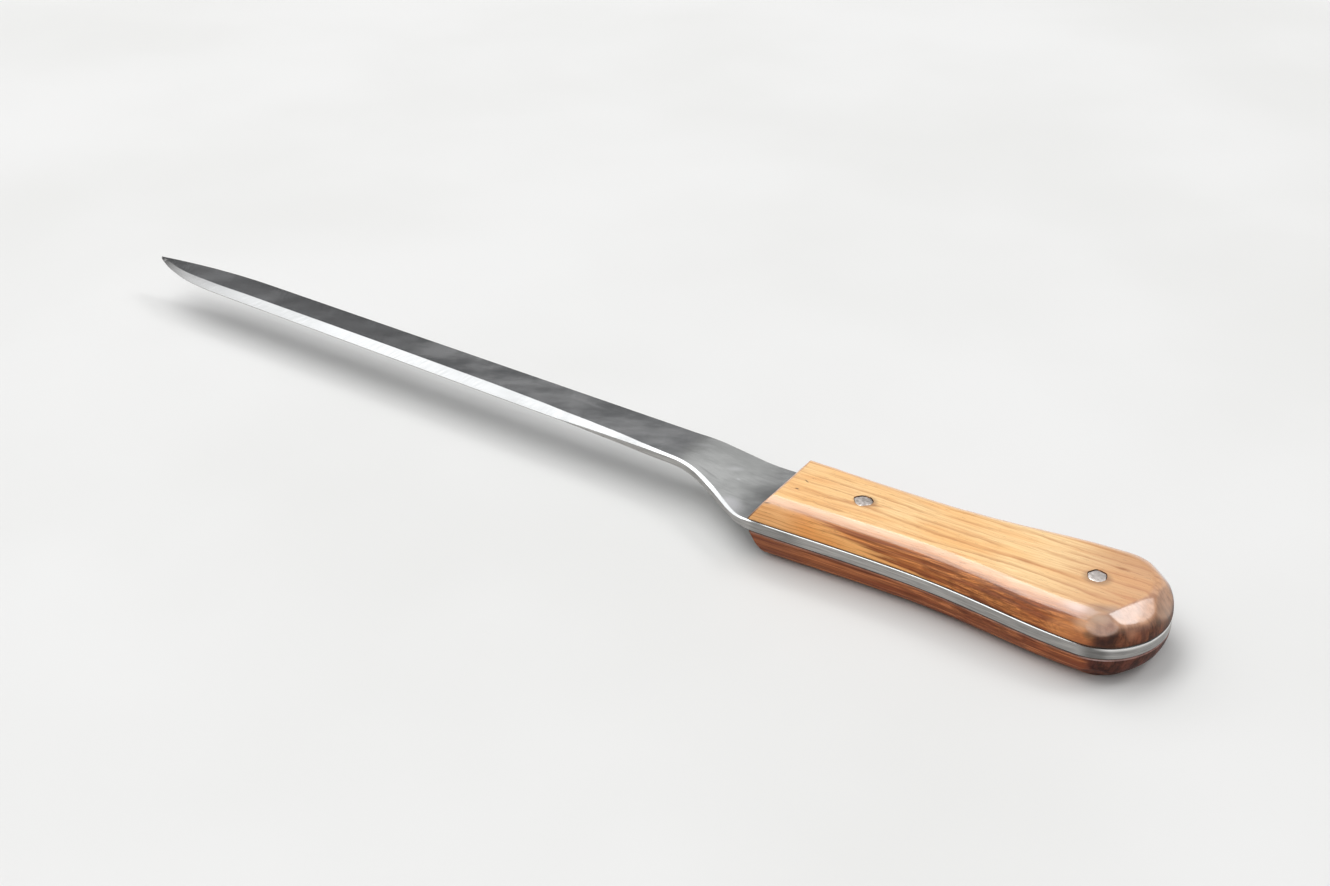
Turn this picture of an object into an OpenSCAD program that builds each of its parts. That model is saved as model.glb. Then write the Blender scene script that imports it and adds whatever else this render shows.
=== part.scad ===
// Carving knife: a full tang blade with a raised crank, two wooden scales, two pins and two glue beds.
// The origin is on the flat underside, midway between the pins. +X points to the tip, +Y to the cutting edge.

/* [Handle outline] */
// Distance between the centres of the two pins
pin_spacing = 64; // [54:1:72]
// Length of handle in front of the front pin
front_l = 26; // [20:0.5:34]
// Length of handle behind the rear pin
rear_l = 19; // [16:0.5:26]
// Width of the handle at its front end
front_w = 28.8; // [26:0.2:32]
// Width of the handle at its waist
waist_w = 28; // [25:0.2:31]
// Distance of the waist behind the front pin
waist_back = 5; // [0:0.5:12]
// Width of the handle at its widest place, near the butt
belly_w = 38; // [32:0.2:42]
// Length of the rounded butt, from the widest place to the end
butt_l = 16; // [13:0.5:22]
// How late the handle widens behind the waist (1 is even)
flare_power = 1.4; // [1:0.1:1.8]

/* [Scales] */
// Thickness of each wooden scale
scale_t = 7.4; // [6:0.1:9]
// Radius of the rounded shoulder at the front end of a scale
shoulder_front_r = 5; // [3:0.1:6]
// Radius of the rounded shoulder at the butt
shoulder_butt_r = 6.8; // [3:0.1:8]
// Least height of the upright side below a shoulder
shoulder_land = 0.6; // [0.3:0.1:1.5]
// How far the front face of a scale leans back over its thickness
front_lean = 4.5; // [1:0.1:6]

/* [Tang] */
// Thickness of the steel in the tang
tang_t = 3.2; // [2.6:0.1:4]
// Size of the small bevel along the edges of the steel
arris = 0.25; // [0.1:0.05:0.4]
// Thickness of each bed of glue between the tang and a scale
glue_t = 0.15; // [0.1:0.05:0.3]
// How far the glue stays back from the edge of the tang
glue_back = 0.2; // [0.1:0.05:0.5]

/* [Crank] */
// Flat steel between the handle and the start of the crank
crank_start = 5; // [2:0.5:9]
// Length of the crank
crank_l = 26; // [18:0.5:30]
// How far the crank raises the blade
crank_rise = 3; // [1:0.1:6]
// Share of the crank's length that each of its two bends takes
crank_bend = 0.3; // [0.15:0.05:0.45]

/* [Blade] */
// Length of the blade from the handle to the tip
blade_l = 259; // [180:1:300]
// Length of the curved heel, where the tang narrows to the blade
heel_l = 34; // [28:0.5:44]
// How steeply the heel leaves the handle
heel_lead = 0.8; // [0:0.1:1]
// Width of the blade at the end of the heel
blade_w = 16.4; // [13:0.2:22]
// Width of the blade where its point begins
blade_end_w = 14.8; // [11:0.2:18]
// Angle between the back of the blade and the handle's length
sweep_angle = 2.6; // [0:0.1:4]
// Thickness of the blade at the end of the crank
blade_t = 2.4; // [1.8:0.1:2.6]
// Thickness of the blade at the tip
tip_t = 1.2; // [0.8:0.1:1.6]

/* [Cutting edge] */
// Width of the ground bevel along the edge
bevel_w = 4.5; // [3:0.1:6]
// Length over which the bevel grows to its full width
bevel_run = 96; // [60:1:120]
// Thickness left at the cutting edge
edge_land = 0.2; // [0.1:0.05:0.3]
// Length over which the edge curves up to the tip
point_l = 40; // [25:1:60]
// How late the edge curves up (2 is a parabola)
point_power = 2.6; // [2:0.1:3]
// Length over which the back falls to the tip
back_fall_l = 50; // [25:1:60]
// How far the back falls to the tip
back_fall = 5.1; // [1:0.1:7]
// Width left at the blunt end of the tip
tip_w = 0.6; // [0.3:0.1:1]

/* [Pins] */
// Diameter of the pins
pin_d = 4.8; // [3:0.1:6]
// Clearance between a pin and its bores, on the radius
pin_clearance = 0.03; // [0.02:0.01:0.08]
// How far a peened pin end spreads past the pin, on the radius
peen_spread = 0.35; // [0.1:0.05:0.6]
// Depth of the peened pin end
peen_depth = 0.8; // [0.4:0.1:1.5]
// How far the pin ends lie below the faces of the scales
pin_recess = 0.05; // [0:0.01:0.1]

/* [Hidden] */
$fn = 64;

// Steps along the curved stretches
butt_steps = 14;
side_steps = 26;
shoulder_steps = 7;
crank_steps = 22;
blade_steps = 16;
point_steps = 16;
// How closely the steps crowd towards the tip (1 is even)
point_crowding = 1.5;
// Angle round the butt of the last section of the steel, which still has a width
last_angle = 88;

// Places along the length
pin_x = pin_spacing / 2;
front_x = pin_x + front_l;
butt_x = -pin_x - rear_l;
belly_x = butt_x + butt_l;
waist_x = pin_x - waist_back;
crank_x = front_x + crank_start;
crank_end_x = crank_x + crank_l;
heel_x = front_x + heel_l;
tip_x = front_x + blade_l;
point_x = tip_x - point_l;
back_fall_x = tip_x - back_fall_l;

// Heights above the face that the knife lies on
lower_glue_z = scale_t;
tang_z = lower_glue_z + glue_t;
upper_glue_z = tang_z + tang_t;
upper_scale_z = upper_glue_z + glue_t;
handle_t = upper_scale_z + scale_t;

function limit(s) = min(1, max(0, s));
function mix(a, b, s) = a + (b - a) * s;
// Smooth change from 0 to 1
function ease(s) = (1 - cos(180 * limit(s))) / 2;
// Straight slope from 0 to 1 with a bend over the share c at each end
function bent(s, c) =
    s < c ? s * s / (2 * c * (1 - c))
    : s > 1 - c ? 1 - (1 - s) * (1 - s) / (2 * c * (1 - c))
    : (s - c / 2) / (1 - c);

// Half the width of the handle in front of the butt
function side_w(x) =
    (x >= waist_x
        ? mix(waist_w, front_w, ease((x - waist_x) / (front_x - waist_x)))
        : mix(waist_w, belly_w, ease(pow(limit((waist_x - x) / (waist_x - belly_x)), flare_power)))) / 2;

// Outline of the handle from the front corner round the butt to the other front corner.
// front is the x of its front end, and inset(x) is how far it lies inside the tang's outline at x.
function handle_outline(front, inset) =
    let (
        side = [for (i = [0:side_steps])
            let (x = mix(front, belly_x, i / side_steps)) [x, side_w(x) - inset(x)]],
        back = [for (i = [1:2 * butt_steps - 1])
            let (a = 90 * i / butt_steps, in = inset(belly_x))
            [belly_x - (butt_l - in) * sin(a), (belly_w / 2 - in) * cos(a)]],
        other = [for (i = [side_steps:-1:0]) [side[i].x, -side[i].y]]
    )
    concat(side, back, other);

// Radius of a scale's shoulder, larger towards the butt and limited by the thickness of the scale
function shoulder_r(x) =
    let (along = limit((front_x - front_lean - x) / (front_x - front_lean - belly_x)))
    min(mix(shoulder_front_r, shoulder_butt_r, along), scale_t - shoulder_land);

// One ring of a scale at the angle a round its shoulder, z upwards from the tang
function scale_ring(a) =
    let (
        front = front_x - front_lean * (1 - shoulder_r(front_x) / scale_t * (1 - sin(a))),
        outline = handle_outline(front, function (x) shoulder_r(x) * (1 - cos(a)))
    )
    [for (p = outline) [p.x, p.y, scale_t - shoulder_r(p.x) * (1 - sin(a))]];

// Closed solid through rings of equal length, lowest ring first
module loft(rings) {
    n = len(rings[0]);
    last = len(rings) - 1;
    walls = [for (k = [0:last - 1]) for (i = [0:n - 1])
        let (j = (i + 1) % n)
        [k * n + i, k * n + j, (k + 1) * n + j, (k + 1) * n + i]];
    ends = [
        [for (i = [n - 1:-1:0]) i],
        [for (i = [0:n - 1]) last * n + i]
    ];
    polyhedron([for (ring = rings) each ring], concat(walls, ends), convexity = 6);
}

// Back of the blade, without and with its fall to the tip
function back_line(x) = -front_w / 2 - tan(sweep_angle) * max(0, x - heel_x);
function back_y(x) = back_line(x) + back_fall * pow(limit((x - back_fall_x) / back_fall_l), 2);
// Cutting edge: a straight line, the heel's curve and the sweep up to the tip
function edge_line(x) =
    back_line(heel_x) - tan(sweep_angle) * (x - heel_x)
    + mix(blade_w, blade_end_w, (x - heel_x) / (point_x - heel_x));
function heel_fall(s) = s * s * (3 - 2 * s) + heel_lead * s * (1 - s) * (1 - s);
heel_drop = front_w / 2 - edge_line(front_x);
edge_sweep = edge_line(tip_x) - back_y(tip_x) - tip_w;
function edge_y(x) =
    edge_line(x)
    + heel_drop * (1 - heel_fall(limit((x - front_x) / heel_l)))
    - edge_sweep * pow(limit((x - point_x) / point_l), point_power);

// Thickness of the steel, the height of its middle plane and the bevel at x
function steel_t(x) =
    x < crank_end_x
        ? mix(tang_t, blade_t, ease((x - crank_x) / crank_l))
        : mix(blade_t, tip_t, (x - crank_end_x) / (tip_x - crank_end_x));
function middle_z(x) = tang_z + tang_t / 2 + crank_rise * bent(limit((x - crank_x) / crank_l), crank_bend);
function bevel_share(x) = limit((x - front_x) / bevel_run);
function bevel_depth(x) = mix(arris, (steel_t(x) - edge_land) / 2, bevel_share(x));
function bevel_width(x, w) = min(mix(arris, bevel_w, bevel_share(x)), w / 2);

// Cross-section of the steel at x, between the back y0 and the edge y1
function steel_ring(x, y0, y1) =
    let (
        top = middle_z(x) + steel_t(x) / 2,
        bottom = middle_z(x) - steel_t(x) / 2,
        deep = bevel_depth(x),
        wide = bevel_width(x, y1 - y0),
        small = min(arris, (y1 - y0) / 4)
    )
    [
        [x, y0, bottom + small],
        [x, y0 + small, bottom],
        [x, y1 - wide, bottom],
        [x, y1, bottom + deep],
        [x, y1, top - deep],
        [x, y1 - wide, top],
        [x, y0 + small, top],
        [x, y0, top - small]
    ];

// Sections through the tang, the crank, the blade and its point
tang_rings = concat(
    [for (i = [0:butt_steps])
        let (a = last_angle * (1 - i / butt_steps), half = belly_w / 2 * cos(a))
        steel_ring(belly_x - butt_l * sin(a), -half, half)],
    [for (i = [1:side_steps])
        let (x = mix(belly_x, front_x, i / side_steps))
        steel_ring(x, -side_w(x), side_w(x))]
);
blade_start_x = max(heel_x, crank_end_x);
blade_mid_x = min(point_x, back_fall_x);
blade_x = concat(
    [for (i = [1:crank_steps]) mix(front_x, blade_start_x, i / crank_steps)],
    [for (i = [1:blade_steps]) mix(blade_start_x, blade_mid_x, i / blade_steps)],
    [for (i = [1:point_steps]) mix(blade_mid_x, tip_x, 1 - pow(1 - i / point_steps, point_crowding))]
);
blade_rings = [for (x = blade_x) steel_ring(x, back_y(x), edge_y(x))];

module at_pin(end) {
    translate([end * pin_x, 0, 0]) children();
}

// Bore for a pin through the whole handle, with a countersink at each face
module pin_bore() {
    r = pin_d / 2 + pin_clearance;
    wide = r + peen_spread;
    over = 1;
    translate([0, 0, -over]) cylinder(r = r, h = handle_t + 2 * over);
    translate([0, 0, -over]) cylinder(r = wide, h = over + pin_recess);
    translate([0, 0, pin_recess]) cylinder(r1 = wide, r2 = r, h = peen_depth);
    translate([0, 0, handle_t - pin_recess - peen_depth]) cylinder(r1 = r, r2 = wide, h = peen_depth);
    translate([0, 0, handle_t - pin_recess]) cylinder(r = wide, h = over + pin_recess);
}

module pin() {
    r = pin_d / 2;
    low = pin_recess;
    high = handle_t - pin_recess;
    color("gainsboro") rotate_extrude() polygon([
        [0, low],
        [r + peen_spread, low],
        [r, low + peen_depth],
        [r, high - peen_depth],
        [r + peen_spread, high],
        [0, high]
    ]);
}

// A scale with its flat inner face at z = 0 and its outer face up
module plain_scale() {
    base = [for (p = handle_outline(front_x, function (x) 0)) [p.x, p.y, 0]];
    loft(concat([base], [for (k = [0:shoulder_steps]) scale_ring(90 * k / shoulder_steps)]));
}

module bores() {
    for (end = [-1, 1]) at_pin(end) pin_bore();
}

module glue_bed(z) {
    color("black") difference() {
        translate([0, 0, z]) linear_extrude(glue_t)
            polygon(handle_outline(front_x - glue_back, function (x) glue_back));
        bores();
    }
}

module blade() {
    color("silver") difference() {
        loft(concat(tang_rings, blade_rings));
        bores();
    }
}

module upper_scale() {
    color("peru") difference() {
        translate([0, 0, upper_scale_z]) plain_scale();
        bores();
    }
}

module lower_scale() {
    color("sienna") difference() {
        translate([0, 0, lower_glue_z]) mirror([0, 0, 1]) plain_scale();
        bores();
    }
}

module front_pin() {
    at_pin(1) pin();
}

module rear_pin() {
    at_pin(-1) pin();
}

module upper_glue_bed() {
    glue_bed(upper_glue_z);
}

module lower_glue_bed() {
    glue_bed(lower_glue_z);
}

blade();
upper_scale();
lower_scale();
front_pin();
rear_pin();
upper_glue_bed();
lower_glue_bed();
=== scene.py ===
import math

import bpy
import numpy as np
from mathutils import Matrix, Vector


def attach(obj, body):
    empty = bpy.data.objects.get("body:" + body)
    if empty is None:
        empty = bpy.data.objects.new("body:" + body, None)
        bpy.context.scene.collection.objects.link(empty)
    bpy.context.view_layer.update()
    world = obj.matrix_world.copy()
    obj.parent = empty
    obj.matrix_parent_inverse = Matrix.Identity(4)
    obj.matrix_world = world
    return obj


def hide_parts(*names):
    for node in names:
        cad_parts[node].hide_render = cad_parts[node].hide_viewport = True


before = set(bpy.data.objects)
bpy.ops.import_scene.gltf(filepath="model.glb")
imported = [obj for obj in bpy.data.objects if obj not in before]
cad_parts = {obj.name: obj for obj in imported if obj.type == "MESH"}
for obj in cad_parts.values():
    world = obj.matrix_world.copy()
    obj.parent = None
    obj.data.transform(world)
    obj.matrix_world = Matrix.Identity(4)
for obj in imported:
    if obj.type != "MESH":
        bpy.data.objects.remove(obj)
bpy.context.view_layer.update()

# All sizes below are in millimetres, in the frame of the solids:
# +X to the tip, +Y to the cutting edge, +Z up, origin under the handle between its pins.
MM = 0.001

# Handle, with the same values as the solids. The pins are at -PIN_X and PIN_X.
PIN_X = 32.0
FRONT_X = 58.0
BUTT_L = 16.0
# The handle is narrowest at the waist and widest at the belly, where the round butt begins
BELLY_X = -35.0
WAIST_X = 27.0
FRONT_W, WAIST_W, BELLY_W = 28.8, 28.0, 38.0
FLARE_POWER = 1.4
# How far the front end of a scale leans back, and the radius of its shoulder at either end
FRONT_LEAN = 4.5
SHOULDER_FRONT, SHOULDER_BUTT = 5.0, 6.8
# Thickness of a scale, underside and thickness of the tang, underside of the upper scale and
# thickness of the handle
SCALE_T = 7.4
TANG_Z, TANG_T = 7.55, 3.2
UPPER_Z = 10.9
HANDLE_T = 18.3

# Crank, blade and cutting edge, with the same values as the solids. The steel rises along the
# crank, narrows along the heel and tapers along the point.
CRANK_X, CRANK_L = 63.0, 26.0
CRANK_END_X = CRANK_X + CRANK_L
CRANK_RISE, CRANK_BEND = 3.0, 0.3
HEEL_L, HEEL_LEAD = 34.0, 0.8
HEEL_X = FRONT_X + HEEL_L
TIP_X = 317.0
BLADE_W, BLADE_END_W = 16.4, 14.8
# Slope of the whole blade towards -Y
SWEEP = math.tan(math.radians(2.6))
BLADE_T, TIP_T = 2.4, 1.2
# Radius of the edges of the back, and width of the land that the cutting edge ends in
ARRIS = 0.25
EDGE_LAND = 0.2
POINT_L, POINT_POWER = 40.0, 2.6
POINT_X = TIP_X - POINT_L
BACK_FALL_L, BACK_FALL = 50.0, 5.1
TIP_W = 0.6

# Edge of the steel along the knife, as the photo shows it: x, how far it lies outside the edge of
# the solids, width of the bevels, height of the upper and of the lower one, rise of the underside
EDGE_PROFILE = np.array((
    (-36, 0, 0.25, 0.12, 0.25, 0),
    (-31, 0, 0.22, 0.17, 0.25, 0),
    (53, 0, 0.22, 0.17, 0.25, 0),
    (57, 0, 0.2, 0.25, 0.25, 0),
    (59, 0.4, 0.3, 0.25, 0.25, 0.1),
    (61, 1.1, 0.5, 0.26, 0.25, 0.55),
    (63, 1.38, 0.65, 0.32, 0.25, 0.95),
    (65, 1.2, 0.95, 0.46, 0.25, 1.1),
    (73, 0.02, 1.2, 0.56, 0.25, 0.5),
    (80, -0.52, 1.1, 0.44, 0.15, 0.1),
    (84, -0.68, 0.93, 0.35, 0.12, 0),
    (92, -0.72, 0.95, 0.30, 0.12, 0),
    (100, -0.83, 1.35, 0.35, 0.12, 0),
    (110, -0.94, 2.15, 0.58, 0.35, 0),
    (122, -0.9, 2.75, 0.79, 0.65, 0),
    (130, -0.65, 3.2, 0.93, 1.0, 0),
    (140, -0.55, 3.8, 1.3, 1.3, 0),
    (160, -0.45, 4.4, 1.3, 1.3, 0),
    (200, -0.45, 4.6, 1.3, 1.3, 0),
    (270, -0.45, 4.45, 1.3, 1.3, 0),
    (290, -0.45, 3.95, 1.3, 1.3, 0),
    (305, -0.42, 2.2, 1.3, 1.3, 0),
    (317, -0.15, 1.2, 1.3, 1.3, 0),
))
# The profile is smoothed over this distance to each side
PROFILE_REACH = 2.0
# Number of sections along the butt, the handle, the crank, the blade and the point
BUTT_SECTIONS, HANDLE_SECTIONS, CRANK_SECTIONS, BLADE_SECTIONS, POINT_SECTIONS = 70, 110, 80, 150, 90
# The first section of the butt stops just short of a right angle, so that it has some width
BUTT_ANGLE = 89.6
# From CROWD_L behind the point on, the sections get closer towards the tip by this power
CROWD_L, CROWD_POWER = 10.0, 1.5
# Materials of the steel, and which of them lies between one point of a section and the next
FACE, BEVEL, RIM = 0, 1, 2
SECTION_SLOTS = (RIM, RIM, FACE, BEVEL, RIM, BEVEL, FACE, RIM, RIM, RIM)
# Points of a section where its faces, bevels and rim meet
SECTION_CREASES = (2, 3, 4, 5, 6, 7)

# Points of a ring round a scale: along each side, round the butt, at each front corner and across
# the front. SHOULDER_STEPS rings go over the shoulder.
SIDE_STEPS, BUTT_STEPS, CORNER_STEPS, FRONT_STEPS, SHOULDER_STEPS = 130, 128, 7, 22, 26
# Radius of the upright front corners
CORNER_R = 0.5
# Front end of the wood on its outer face, and beside the steel for the upper and the lower scale
OUTER_FRONT_X = 53.8
UPPER_FRONT_X, LOWER_FRONT_X = 59.1, 58.5
# Size of the broken edge of the wood beside the steel
BROKEN_EDGE = 0.3
# The shoulder's radius is smaller by up to TIGHT at the near corner of the butt. In degrees from
# the near side: the corner's angle, how far it spreads, and the angle over which it starts.
TIGHT, TIGHT_ANGLE, TIGHT_SPREAD, TIGHT_START = 2.0, 22, 20, 12
# The outer face is closed towards a spine in the middle, which ends this far behind the front
SPINE_END = 10.0
SPINE_SHARES = (0.03, 0.06, 0.1, 0.15, 0.2, 0.28, 0.38, 0.5, 0.65, 0.8, 0.92)
# Hand-cut facets of the butt: azimuth, tilt and a point of each plane, z from the inner face
BUTT_FACETS = (
    (65, 27, (-42.1, 8.66, SCALE_T)),
    (18, 50, (-39.0, 14.4, SCALE_T)),
    (95, 50, (-48.6, 0.5, 4.9)),
    (135, 46, (-44.6, -10.5, 6.2)),
    (58, 70, (-47.0, 11.6, 4.6)),
)
# Small flats that soften the front edges
FRONT_FACETS = (
    (-90, 30, (OUTER_FRONT_X - 0.45, 0, SCALE_T)),
    (-90, 50, (OUTER_FRONT_X - 0.12, 0, SCALE_T - 0.1)),
)
# Passes that rub the edges of the butt's facets, from x = SOFT_X on and fully after SOFT_L
SOFTENING, SOFT_X, SOFT_L = 6, -31.0, 5.0
# Hand work took up to about twice DIP off the sides, in waves of DIP_WAVE_L and above DIP_FROM_Z.
# It fades out over DIP_FADE_L under the outer face.
DIP, DIP_WAVE_L, DIP_FROM_Z, DIP_FADE_L = 0.09, 41.0, 0.4, 0.5

# Pins: radius of the shank, height of a head and number of points round it
SHANK_R, HEAD_T, PIN_STEPS = 2.4, 1.25, 56
# Outline of the front head, 1, and the rear one, -1: mean radius, then size, number and phase
# of each ripple round it
HEAD_OUTLINES = {
    1: (2.48, ((0.11, 4, 0.3), (0.08, 3, 1.1), (0.05, 7, 0.0))),
    -1: (2.43, ((0.07, 6, 0.9), (0.13, 2, 2.7), (0.05, 5, 0.0))),
}
# Notch in the front head: depth, angle round the pin and width of the angle
NOTCH, NOTCH_ANGLE, NOTCH_WIDTH = 0.32, 4.55, 0.16
# Crown of a head: share of its radius, and depth under the face of the scale
CROWN = ((0.25, 0.02), (0.5, 0.03), (0.75, 0.05), (0.9, 0.09), (0.97, 0.16), (1.0, 0.28), (1.0, 0.7))
# The whole crown lies this much deeper, and has dents of this size up to this share of its radius
CROWN_DROP, DENT, DENT_SHARE = 0.02, 0.03, 0.95
# Bore for a head: depth under the face of the scale, and how much wider than the head it is
BORE = ((-1, 0.14), (0.9, 0.14), (1.3, -0.15))

# The camera that was fitted to the photograph: the picture's width and the focal length in
# pixels, how far it looks down, its place, and where it looks as seen from above
PHOTO_W, FOCAL_PX = 1330, 1700.0
PITCH = math.radians(30.0)
CAMERA_AT = (-130.04, 346.63, 254.59)
CAMERA_AHEAD = (0.54295, -0.83976)
# Width of its sensor, and the range that it sees, in metres
SENSOR_W = 36.0
CLIP_NEAR, CLIP_FAR = 0.01, 50.0

# Distance of the lights, in metres
LIGHT_DISTANCE = 10.0
# Lights: name, direction from the knife, width and height as shares of the distance, radiance
LIGHTS = (
    ("overhead_box", (0.447, -0.04, 1.0), 1.2, 0.454, 3.2),
    ("window_box", (0.669, -0.230, 0.707), 0.72, 0.57, 1.3),
    ("fill_box", (-0.25, 0.68, 0.69), 0.75, 0.5, 1.2),
    ("butt_box", (-0.40, -0.51, 0.757), 0.32, 0.28, 6.2),
)
# Brightness of the room by the height of a direction: 0 at the horizon and 1 straight above
ROOM_LEVELS = (
    (0.0, 0.74), (0.22, 0.68), (0.34, 0.16), (0.43, 0.16),
    (0.5, 0.32), (0.62, 0.6), (0.8, 0.5), (1.0, 0.5),
)
# Floor: radii of its rings, points round each, and how far it lies under the knife
FLOOR_RADII = (60, 250, 900, 3500, 12000)
FLOOR_STEPS = 96
FLOOR_DROP = 0.02


# Shapes shared by several pieces


def limit(s):
    return np.clip(s, 0.0, 1.0)


def mix(a, b, s):
    return a + (b - a) * s


def ease(s):
    return (1 - np.cos(np.pi * limit(s))) / 2


def bent(s, c):
    """A straight slope from 0 to 1 with a bend over the share c at each end."""
    middle = (s - c / 2) / (1 - c)
    start = s * s / (2 * c * (1 - c))
    end = 1 - (1 - s) ** 2 / (2 * c * (1 - c))
    return np.where(s < c, start, np.where(s > 1 - c, end, middle))


def side_w(x):
    """Half the width of the handle in front of the butt."""
    front = mix(WAIST_W, FRONT_W, ease((x - WAIST_X) / (FRONT_X - WAIST_X)))
    rear = mix(WAIST_W, BELLY_W, ease(limit((WAIST_X - x) / (WAIST_X - BELLY_X)) ** FLARE_POWER))
    return np.where(x >= WAIST_X, front, rear) / 2


def back_line(x):
    return -FRONT_W / 2 - SWEEP * np.maximum(0, x - HEEL_X)


def back_y(x):
    return back_line(x) + BACK_FALL * limit((x - TIP_X + BACK_FALL_L) / BACK_FALL_L) ** 2


def edge_line(x):
    width = mix(BLADE_W, BLADE_END_W, (x - HEEL_X) / (POINT_X - HEEL_X))
    return back_line(HEEL_X) - SWEEP * (x - HEEL_X) + width


def edge_y(x):
    s = limit((x - FRONT_X) / HEEL_L)
    fall = s * s * (3 - 2 * s) + HEEL_LEAD * s * (1 - s) ** 2
    drop = FRONT_W / 2 - edge_line(FRONT_X)
    sweep = edge_line(TIP_X) - back_y(TIP_X) - TIP_W
    point = limit((x - POINT_X) / POINT_L) ** POINT_POWER
    return edge_line(x) + drop * (1 - fall) - sweep * point


def steel_t(x):
    crank = mix(TANG_T, BLADE_T, ease((x - CRANK_X) / CRANK_L))
    blade = mix(BLADE_T, TIP_T, (x - CRANK_END_X) / (TIP_X - CRANK_END_X))
    return np.where(x < CRANK_END_X, crank, blade)


def middle_z(x):
    rise = CRANK_RISE * bent(limit((x - CRANK_X) / CRANK_L), CRANK_BEND)
    return TANG_Z + TANG_T / 2 + rise


def flatten(points, azimuth, tilt, through):
    """Cuts the points back to a plane through a point. Its normal leans by tilt from +Z
    towards azimuth, which is 0 at +Y, 90 at -X and -90 at +X."""
    az, lean = math.radians(azimuth), math.radians(tilt)
    normal = np.array([-math.sin(lean) * math.sin(az), math.sin(lean) * math.cos(az), math.cos(lean)])
    over = points @ normal - np.dot(normal, through)
    points -= np.outer(np.maximum(over, 0), normal)


def waves(x, seed, longest, count=5, gain=1.4):
    """Smooth unevenness along x, the same at each run. gain brings it to about -1 to 1."""
    rng = np.random.default_rng(seed)
    total = np.zeros_like(x)
    for k in range(count):
        length = longest / (1 + k)
        total += rng.uniform(0.4, 1) * np.sin(2 * np.pi * (x / length + rng.uniform()))
    return total / count * gain


# Mesh helpers


def new_piece(name, points, faces, materials, indices=None):
    mesh = bpy.data.meshes.new(name)
    mesh.from_pydata([tuple(p) for p in np.asarray(points) * MM], [], faces)
    for material in materials:
        mesh.materials.append(material)
    if indices is not None:
        mesh.polygons.foreach_set("material_index", indices)
    mesh.polygons.foreach_set("use_smooth", [True] * len(mesh.polygons))
    mesh.validate()
    mesh.update()
    piece = bpy.data.objects.new(name, mesh)
    bpy.context.scene.collection.objects.link(piece)
    return piece


def loft_faces(rings, count):
    """Quads between rings of count points each."""
    faces = []
    for k in range(rings - 1):
        for i in range(count):
            j = (i + 1) % count
            a, b = k * count, (k + 1) * count
            faces.append((a + i, a + j, b + j, b + i))
    return faces


def closed_faces(rings, count):
    """The quads between the rings, and then a face over the first and over the last ring."""
    first = tuple(range(count - 1, -1, -1))
    last = tuple(range((rings - 1) * count, rings * count))
    return loft_faces(rings, count) + [first, last]


def turned(faces):
    return [face[::-1] for face in faces]


def cut(piece, cutters):
    """Takes the cutters out of the piece and removes them."""
    for cutter in cutters:
        boolean = piece.modifiers.new("bore", "BOOLEAN")
        boolean.operation = "DIFFERENCE"
        boolean.solver = "EXACT"
        boolean.object = cutter
    graph = bpy.context.evaluated_depsgraph_get()
    mesh = bpy.data.meshes.new_from_object(piece.evaluated_get(graph))
    piece.modifiers.clear()
    piece.data = mesh
    for cutter in cutters:
        bpy.data.objects.remove(cutter)


def crease(piece, degrees):
    """Keeps edges sharp where the surface turns by more than this angle."""
    piece.data.set_sharp_from_angle(angle=math.radians(degrees))


# Node helpers


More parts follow.
